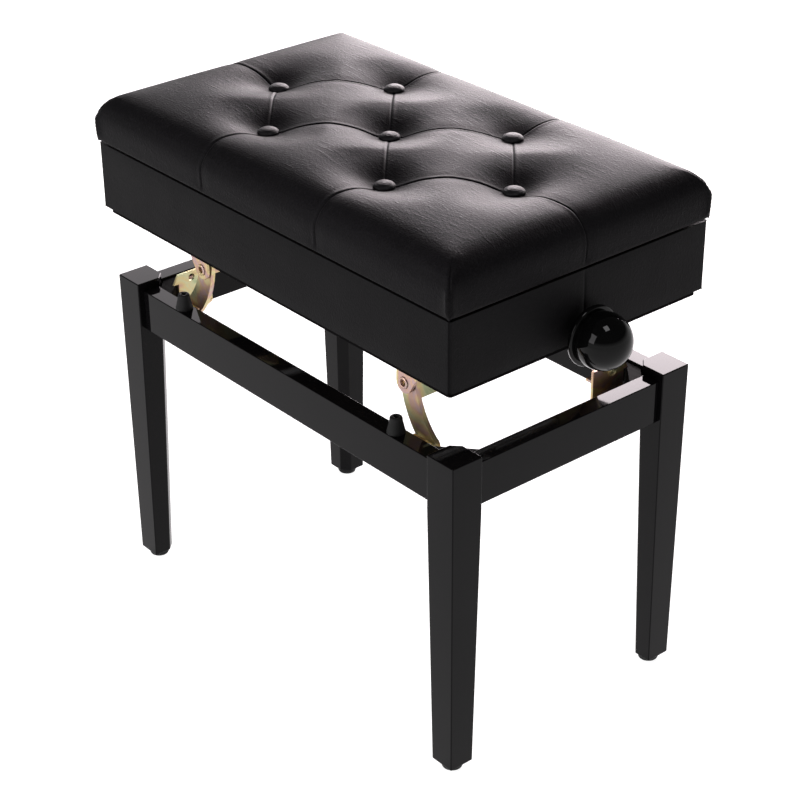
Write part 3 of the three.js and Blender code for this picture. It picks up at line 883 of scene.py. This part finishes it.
def makeBoxCover():
    nodes = [f"box_board_{side}" for side in sides + ends]
    low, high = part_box("box_board_front")
    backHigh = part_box("box_board_back")[1]
    size = Vector((high.x - low.x, backHigh.y - low.y, high.z - low.z))
    middle = Vector(((low.x + high.x) / 2, (low.y + backHigh.y) / 2, (low.z + high.z) / 2))
    shape = bmesh.new()
    bmesh.ops.create_cube(shape, size=1)
    bmesh.ops.scale(shape, vec=size, verts=shape.verts)
    upright = [e for e in shape.edges if rise(e) > size.z / 2]
    easeEdges(shape, upright, boxCover["cornerRadius"], 5)
    caps = [f for f in shape.faces if abs(f.normal.z) > 0.9]
    bmesh.ops.delete(shape, geom=caps, context="FACES")
    for axis, extent in ((Vector((1, 0, 0)), size.x), (Vector((0, 1, 0)), size.y)):
        count = int(extent / boxCover["step"] / 2)
        for i in range(-count, count + 1):
            cutShape(shape, axis * (i * boxCover["step"]), axis)
    for across in boxCover["seamCuts"]:
        for sign in (-1, 1):
            cutShape(shape, Vector((0, sign * across, 0)), Vector((0, 1, 0)))
    for i in range(1, boxCover["levels"]):
        cutShape(shape, Vector((0, 0, size.z * (i / boxCover["levels"] - 0.5))), Vector((0, 0, 1)))
    bmesh.ops.recalc_face_normals(shape, faces=shape.faces)
    walls = shape.faces[:]
    bmesh.ops.solidify(shape, geom=walls, thickness=boxCover["board"])
    bmesh.ops.recalc_face_normals(shape, faces=shape.faces)
    rims = edgesOver(shape, 60)
    bottom = -size.z * 0.45
    lower = [e for e in rims if max(v.co.z for v in e.verts) < bottom and outermost(e, size)]
    easeEdges(shape, lower, boxCover["lowerEdge"], 4)
    upper = [
        e
        for e in edgesOver(shape, 60)
        if min(v.co.z for v in e.verts) > -bottom and rise(e) < 0.001
    ]
    easeEdges(shape, upper, boxCover["upperEdge"], 3)
    puffWalls(shape, size)
    bmesh.ops.translate(shape, vec=middle, verts=shape.verts)
    cutPassage(shape, middleOf("spindle").z)
    bmesh.ops.remove_doubles(shape, verts=shape.verts, dist=0.00004)
    finishPiece("box_cover", shape, "box_board_front", None, nodes, 50)


def cutShape(shape, at, across):
    geometry = shape.verts[:] + shape.edges[:] + shape.faces[:]
    bmesh.ops.bisect_plane(shape, geom=geometry, dist=0.00001, plane_co=at, plane_no=across)


def outermost(edge, size, near=0.005):
    return all(
        abs(abs(v.co.x) - size.x / 2) < near or abs(abs(v.co.y) - size.y / 2) < near
        for v in edge.verts
    )


# Padding pushes the flat walls out a little between the edges; a seam pulls the end walls in.
def puffWalls(shape, size):
    for vert in shape.verts:
        x, y, z = vert.co
        level = max(0.0, 1 - (abs(z) / (size.z / 2)) ** 4)
        seam = boxCover["seamDepth"] * math.exp(-((y / boxCover["seamWidth"]) ** 2))
        ripple = boxCover["ripple"] * noise.noise(Vector((x * 30, y * 30, z * 14)))
        if abs(abs(x) - size.x / 2) < 0.0003:
            swell = boxCover["skin"] + boxCover["puff"] * level * (1 - (y / (size.y / 2)) ** 6)
            vert.co.x += math.copysign(swell + (ripple - seam) * min(1, level * 2), x)
        elif abs(abs(y) - size.y / 2) < 0.0003:
            swell = boxCover["skin"] + boxCover["puff"] * level * (1 - (x / (size.x / 2)) ** 6)
            vert.co.y += math.copysign(swell + ripple * min(1, level * 2), y)


# The slot that each end board has for the rod.
def cutPassage(shape, rodHeight, radius=0.008):
    for vert in shape.verts:
        if abs(vert.co.x) < 0.25 or abs(vert.co.y) > radius + 0.00001:
            continue
        roof = rodHeight + math.sqrt(max(0.0, radius**2 - vert.co.y**2))
        vert.co.z = max(vert.co.z, roof)


makeBoxCover()

trim = {"cornerRadius": 0.004, "edge": 0.002}


def makeBottomFrame():
    node = "bottom_frame"
    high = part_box(node)[1]
    shape = copyOfNode(node)
    outer = [
        e
        for e in shape.edges
        if rise(e) > 0.004 and abs(abs(e.verts[0].co.x) - high.x) < 0.0005
    ]
    easeEdges(shape, outer, trim["cornerRadius"], 6)
    easeEdges(shape, edgesOver(shape, 60), trim["edge"], 3)
    finishPiece("bottom_frame_trim", shape, node, None, [node])


makeBottomFrame()
easedPiece("compartment_floor", 0.0005, material=darkSheet)
easedPiece("lid_board", 0.0008)
easedPiece("hinge_leaf_lower", 0.0002, 1, 50)
easedPiece("hinge_leaf_upper", 0.0002, 1, 50)
easedPiece("hinge_pin", 0.0002, 1, 60)
print("box made")


# Cushion: blown up as cloth, then sewn and buttoned.

cushionShape = {
    "voxel": 0.005,
    "startInset": 0.0009,
    "bulge": 0.0006,
    "cornerRadius": 0.003,
    "topRadius": 0.026,
    "lowerRadius": 0.0015,
    "footEase": 0.005,
    "lip": 0.0028,
    "crown": 0.0065,
    "loft": 0.003,
    "dimpleReach": 0.025,
    "pinRadius": 0.0105,
    "heldSkirt": 0.013,
    "buttonSink": 0.0068,  # seat of a button below its top
    "pressure": 4.0,
    "frames": 20,
    "cap": 0.006,
}
seamShape = {
    "valley": 0.0007,
    "valleyWidth": 0.009,
    "groove": 0.001,
    "grooveWidth": 0.0008,
    "ridge": 0.0004,
    "ridgeOff": 0.0028,
    "ridgeWidth": 0.0014,
    "corner": 0.0022,
    "cornerWidth": 0.005,
    "pucker": 0.35,
    "puckerWidth": 0.006,
    "puckerWaves": 700,
    "fade": 0.012,
    "finer": (0.006, 0.003),
}

buttonPlaces = [middleOf(f"button_{i}") for i in range(1, 8)]
buttonTops = [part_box(f"button_{i}")[1].z for i in range(1, 8)]
buttonSeats = [top - cushionShape["buttonSink"] for top in buttonTops]


def seamLines():
    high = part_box("cushion")[1]
    farX, farY = high.x + 0.03, high.y + 0.03
    rowX = sorted({round(p.x, 4) for p in buttonPlaces})
    rowY = sorted({round(p.y, 4) for p in buttonPlaces})
    left, midLeft, centre, midRight, right = rowX
    front, mid, back = rowY
    lines = []
    for start, end in ((left, midLeft), (centre, midLeft), (centre, midRight), (right, midRight)):
        for y in (front, back):
            lines.append(((start, mid), (end, y)))
    lines.append(((left, mid), (-farX, mid)))
    lines.append(((right, mid), (farX, mid)))
    for x in (midLeft, midRight):
        lines.append(((x, front), (x, -farY)))
        lines.append(((x, back), (x, farY)))
    return lines


def cornerLines(reach=0.02):
    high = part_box("cushion")[1]
    return [
        tuple((sx * (high.x + along), sy * (high.y + along)) for along in (-reach, reach))
        for sx in (-1, 1)
        for sy in (-1, 1)
    ]


# Distance in plan from each point to a line, the side of it, and the place along it.
def nearLine(points, line):
    start, end = np.array(line[0]), np.array(line[1])
    along = end - start
    length = float(np.hypot(*along))
    along = along / length
    offset = points[:, :2] - start
    place = np.clip(offset @ along, 0, length)
    gap = offset - place[:, None] * along
    side = offset[:, 0] * along[1] - offset[:, 1] * along[0]
    return np.hypot(gap[:, 0], gap[:, 1]), side, place, length


def readPoints(mesh):
    points = np.zeros(len(mesh.vertices) * 3)
    mesh.vertices.foreach_get("co", points)
    return points.reshape(-1, 3)


def writePoints(mesh, points):
    mesh.vertices.foreach_set("co", points.astype(np.float32).ravel())
    mesh.update()


def takeEvaluated(piece):
    bpy.context.view_layer.update()
    seen = piece.evaluated_get(bpy.context.evaluated_depsgraph_get())
    mesh = bpy.data.meshes.new_from_object(seen)
    piece.modifiers.clear()
    piece.data = mesh


def startCushion():
    low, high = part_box("cushion")
    inset = cushionShape["startInset"]
    size = high - low - Vector((2 * inset, 2 * inset, cushionShape["crown"] - cushionShape["loft"]))
    shape = bmesh.new()
    bmesh.ops.create_cube(shape, size=1)
    bmesh.ops.scale(shape, vec=size, verts=shape.verts)
    bmesh.ops.translate(shape, vec=Vector((0, 0, low.z + size.z / 2)), verts=shape.verts)
    rim = [e for e in shape.edges if min(v.co.z for v in e.verts) > low.z + size.z / 2]
    easeEdges(shape, rim, cushionShape["topRadius"], 8)
    upright = [
        e
        for e in edgesOver(shape, 60)
        if rise(e) > 0.005 and max(v.co.z for v in e.verts) < low.z + size.z * 0.6
    ]
    easeEdges(shape, upright, cushionShape["cornerRadius"], 3)
    foot = [e for e in edgesOver(shape, 60) if max(v.co.z for v in e.verts) < low.z + 0.001]
    easeEdges(shape, foot, cushionShape["lowerRadius"], 3)
    mesh = bpy.data.meshes.new("cushion_cover")
    shape.to_mesh(mesh)
    shape.free()
    piece = linkNew("cushion_cover", mesh)
    remesh = piece.modifiers.new("remesh", "REMESH")
    remesh.mode = "VOXEL"
    remesh.voxel_size = cushionShape["voxel"]
    takeEvaluated(piece)
    return piece, low, size


# The top is crowned, and pulled down to a seat round each button.
def pressDimples(points, low, size):
    lift = np.clip((points[:, 2] - low.z - size.z * 0.45) / (size.z * 0.55), 0, 1)
    bend = (1 - np.clip(abs(points[:, 0]) / (size.x / 2), 0, 1) ** 4) * (
        1 - np.clip(abs(points[:, 1]) / (size.y / 2), 0, 1) ** 4
    )
    points[:, 2] += cushionShape["crown"] * lift * bend
    level = np.clip((points[:, 2] - low.z) / size.z, 0, 1)
    swell = cushionShape["bulge"] * np.sin(math.pi * np.clip(level * 1.1, 0, 1))
    for axis, half in ((0, size.x / 2), (1, size.y / 2)):
        outer = np.clip(abs(points[:, axis]) / half, 0, 1) ** 12
        points[:, axis] += np.sign(points[:, axis]) * swell * outer
    sink = np.zeros(len(points))
    for place, seat in zip(buttonPlaces, buttonSeats):
        away = np.hypot(points[:, 0] - place.x, points[:, 1] - place.y)
        crown = points[away < cushionShape["pinRadius"], 2].max()
        away = np.clip(away - cushionShape["pinRadius"], 0, None) / cushionShape["dimpleReach"]
        sink = np.maximum(sink, (crown - seat) * np.exp(-(away**1.25)))
    points[:, 2] -= sink * lift
    return points


# The foot is squared up, so that the side goes straight down to the parting line.
def squareFoot(mesh, low, size):
    points = readPoints(mesh)
    ease = cushionShape["footEase"]
    foot = points[:, 2] < low.z + 1.2 * ease
    for axis, half in ((0, size.x / 2), (1, size.y / 2)):
        inner = half - ease
        share = np.clip((abs(points[:, axis]) - inner) / ease, 0, None)
        spread = np.maximum(share, np.minimum(share, 1) ** 0.3)
        moved = np.sign(points[:, axis]) * (inner + ease * spread)
        points[:, axis] = np.where(foot & (share > 0), moved, points[:, axis])
        points[:, 2] -= np.where(foot & (share > 0.3), cushionShape["lip"] / 2, 0)
    writePoints(mesh, points)


def holdPoints(piece, points, low, size):
    held = piece.vertex_groups.new(name="held")
    skirt = np.where(points[:, 2] < low.z + cushionShape["heldSkirt"])[0]
    held.add([int(i) for i in skirt], 1.0, "REPLACE")
    for place in buttonPlaces:
        away = np.hypot(points[:, 0] - place.x, points[:, 1] - place.y)
        near = np.where((away < cushionShape["pinRadius"]) & (points[:, 2] > low.z + size.z / 2))[0]
        held.add([int(i) for i in near], 1.0, "REPLACE")


def blowUp(piece):
    scene = bpy.context.scene
    cloth = piece.modifiers.new("cloth", "CLOTH")
    settings = cloth.settings
    settings.quality = 6
    settings.mass = 0.3
    settings.tension_stiffness = 25
    settings.compression_stiffness = 25
    settings.shear_stiffness = 12
    settings.bending_stiffness = 14
    settings.use_pressure = True
    settings.uniform_pressure_force = cushionShape["pressure"]
    settings.vertex_group_mass = "held"
    settings.effector_weights.gravity = 0
    cloth.point_cache.frame_start = 1
    cloth.point_cache.frame_end = cushionShape["frames"]
    for step in range(1, cushionShape["frames"] + 1):
        scene.frame_set(step)
    rest = readPoints(piece.data)
    takeEvaluated(piece)
    scene.frame_set(1)
    moved = readPoints(piece.data)
    travel = moved - rest
    length = np.linalg.norm(travel, axis=1)
    mean, most = float(length.mean()), float(length.max())
    print("cushion blown up by", round(mean, 4), "to", round(most, 4))
    share = np.minimum(1, cushionShape["cap"] / np.maximum(length, 1e-9))
    writePoints(piece.data, rest + travel * share[:, None])


def nearSeams(points, lines):
    return np.min([nearLine(points, line)[0] for line in lines], axis=0)


# Finer faces along the seams, so that a narrow groove holds.
def refineSeams(piece, lines, widths):
    for width in widths:
        shape = bmesh.new()
        shape.from_mesh(piece.data)
        points = np.array([v.co for v in shape.verts])
        close = nearSeams(points, lines) < width
        close &= points[:, 2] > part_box("lid_board")[0].z + 0.004
        edges = [e for e in shape.edges if close[e.verts[0].index] and close[e.verts[1].index]]
        bmesh.ops.subdivide_edges(shape, edges=edges, cuts=1, use_grid_fill=True, smooth=0.0)
        shape.to_mesh(piece.data)
        shape.free()


def sewSeams(piece, lines, cornersOnly):
    mesh = piece.data
    points = readPoints(mesh)
    normals = np.zeros(len(mesh.vertices) * 3)
    mesh.vertices.foreach_get("normal", normals)
    normals = normals.reshape(-1, 3)
    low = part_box("cushion")[0]
    skirt = np.clip((points[:, 2] - low.z) / 0.006, 0, 1)
    valley = np.zeros(len(points))
    groove = np.zeros(len(points))
    ridge = np.zeros(len(points))
    for index, line in enumerate(lines):
        gap, side, place, length = nearLine(points, line)
        reach = np.hypot(points[:, 0] - line[0][0], points[:, 1] - line[0][1])
        fade = np.clip(reach / seamShape["fade"], 0, 1)
        outward = np.clip((place / length - 0.75) * 4, 0, 1)
        waves = np.sin(place * seamShape["puckerWaves"] + index)
        close = np.exp(-((gap / seamShape["puckerWidth"]) ** 2))
        pucker = 1 + seamShape["pucker"] * outward * waves * close
        valley = np.maximum(valley, np.exp(-((gap / seamShape["valleyWidth"]) ** 2)) * pucker)
        groove = np.maximum(groove, np.exp(-((gap / seamShape["grooveWidth"]) ** 2)) * fade)
        offset = side - seamShape["ridgeOff"]
        beside = np.exp(-((offset / seamShape["ridgeWidth"]) ** 2)) * (gap < 0.012)
        ridge = np.maximum(ridge, beside * fade)
    depth = valley * seamShape["valley"]
    if cornersOnly:
        upright = (1 - np.clip(abs(normals[:, 2]), 0, 1)) ** 2
        near = np.exp(-((nearSeams(points, lines) / seamShape["cornerWidth"]) ** 2))
        depth = -seamShape["corner"] * upright * near
    depth = (depth + groove * seamShape["groove"] - ridge * seamShape["ridge"]) * skirt
    writePoints(mesh, points - normals * depth[:, None])


def facingDown(shape, below):
    return [f for f in shape.faces if f.calc_center_median().z < below and f.normal.z < -0.5]


# The board under the cover: the underside is let in round it.
def letInBoard(piece):
    low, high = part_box("lid_board")
    gap = 0.0004
    shape = bmesh.new()
    shape.from_mesh(piece.data)
    floor = low.z + 0.003
    for axis, edge in ((Vector((1, 0, 0)), high.x + gap), (Vector((0, 1, 0)), high.y + gap)):
        for sign in (-1, 1):
            under = facingDown(shape, floor)
            geometry = list(dict.fromkeys(part for f in under for part in (*f.verts, *f.edges, f)))
            place = axis * sign * edge
            bmesh.ops.bisect_plane(
                shape, geom=geometry, dist=0.00002, plane_co=place, plane_no=axis
            )
    inside = [
        f
        for f in facingDown(shape, floor)
        if abs(f.calc_center_median().x) < high.x + gap
        and abs(f.calc_center_median().y) < high.y + gap
    ]
    made = bmesh.ops.extrude_face_region(shape, geom=inside)
    raised = [v for v in made["geom"] if isinstance(v, bmesh.types.BMVert)]
    stale = [f for f in inside if f.is_valid]
    if stale:
        bmesh.ops.delete(shape, geom=stale, context="FACES")
    for vert in raised:
        vert.co.z = high.z + gap
    shape.to_mesh(piece.data)
    shape.free()


def makeCushion():
    piece, low, size = startCushion()
    points = pressDimples(readPoints(piece.data), low, size)
    writePoints(piece.data, points)
    holdPoints(piece, points, low, size)
    blowUp(piece)
    piece.vertex_groups.clear()
    smooth = piece.modifiers.new("finer", "SUBSURF")
    smooth.levels = smooth.render_levels = 1
    takeEvaluated(piece)
    squareFoot(piece.data, low, size)
    lines, cornerSeams = seamLines(), cornerLines()
    refineSeams(piece, lines + cornerSeams, seamShape["finer"])
    sewSeams(piece, lines, False)
    sewSeams(piece, cornerSeams, True)
    letInBoard(piece)
    piece.data.materials.clear()
    piece.data.materials.append(finishes["seat_leatherette"])
    piece.data.shade_smooth()
    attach(piece, "lid")
    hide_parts("cushion")
    return piece


cushion = makeCushion()
print("cushion made", len(cushion.data.vertices), "points")

stitch = {
    "radius": 0.0003,
    "length": 0.0026,
    "pitch": 0.004,
    "apart": 0.0014,
    "from": 0.005,
    "count": 9,
    "steps": 10,
}


def onCover(tree, corner, outward, across, height):
    start = corner + outward * 0.06 + across + Vector((0, 0, height))
    return tree.ray_cast(start, -outward)[0]


# Short threads up both sides of the seam at each upright corner.
def sewCorners():
    low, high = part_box("cushion")
    tree = BVHTree.FromObject(cushion, bpy.context.evaluated_depsgraph_get())
    radius, length = stitch["radius"], stitch["length"]
    tip, shoulder = length / 2, length / 2 - 0.4 * radius
    profile = [(0, -tip), (radius, -shoulder), (radius, shoulder), (0, tip)]
    threads = bmesh.new()
    for signX, signY in ((-1, -1), (-1, 1), (1, -1), (1, 1)):
        corner = Vector((signX * high.x, signY * high.y, low.z))
        outward = Vector((signX, signY, 0)).normalized()
        across = Vector((-outward.y, outward.x, 0)) * stitch["apart"]
        for sign in (-1, 1):
            for i in range(stitch["count"]):
                height = stitch["from"] + i * stitch["pitch"]
                foot = onCover(tree, corner, outward, across * sign, height)
                head = onCover(tree, corner, outward, across * sign, height + length)
                if foot is None or head is None:
                    continue
                one = spinProfile(profile, stitch["steps"])
                moveShape(one, Matrix.Translation((foot + head) / 2) @ turnedTo(head - foot))
                mergeInto(threads, one)
    finishPiece("corner_stitches", threads, "cushion", threadFinish)


sewCorners()

buttonShape = {
    "radius": 0.011,
    "dome": 0.0042,
    "skirt": 0.002,
    "seat": 0.0058,  # below the top of the frame's button
    "shank": 0.0018,
    "steps": 48,
}


def makeButton(index, place):
    node = f"button_{index}"
    radius, dome, skirt = (buttonShape[key] for key in ("radius", "dome", "skirt"))
    low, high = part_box(node)
    seat, shank = high.z - buttonShape["seat"], buttonShape["shank"]
    profile = [
        (0, seat + dome),
        (radius * 0.3, seat + dome * 0.97),
        (radius * 0.6, seat + dome * 0.82),
        (radius * 0.84, seat + dome * 0.5),
        (radius * 0.97, seat + dome * 0.16),
        (radius, seat - skirt * 0.4),
        (radius * 0.93, seat - skirt),
        (shank, seat - skirt),
        (shank, low.z),
        (0, low.z),
    ]
    shape = spinProfile(profile, buttonShape["steps"], 0.0004)
    moveShape(shape, Matrix.Translation((place.x, place.y, 0)))
    finishPiece(f"{node}_covered", shape, node, finishes["button_leatherette"], [node], 60)


for index, place in enumerate(buttonPlaces, 1):
    makeButton(index, place)
print("buttons made")
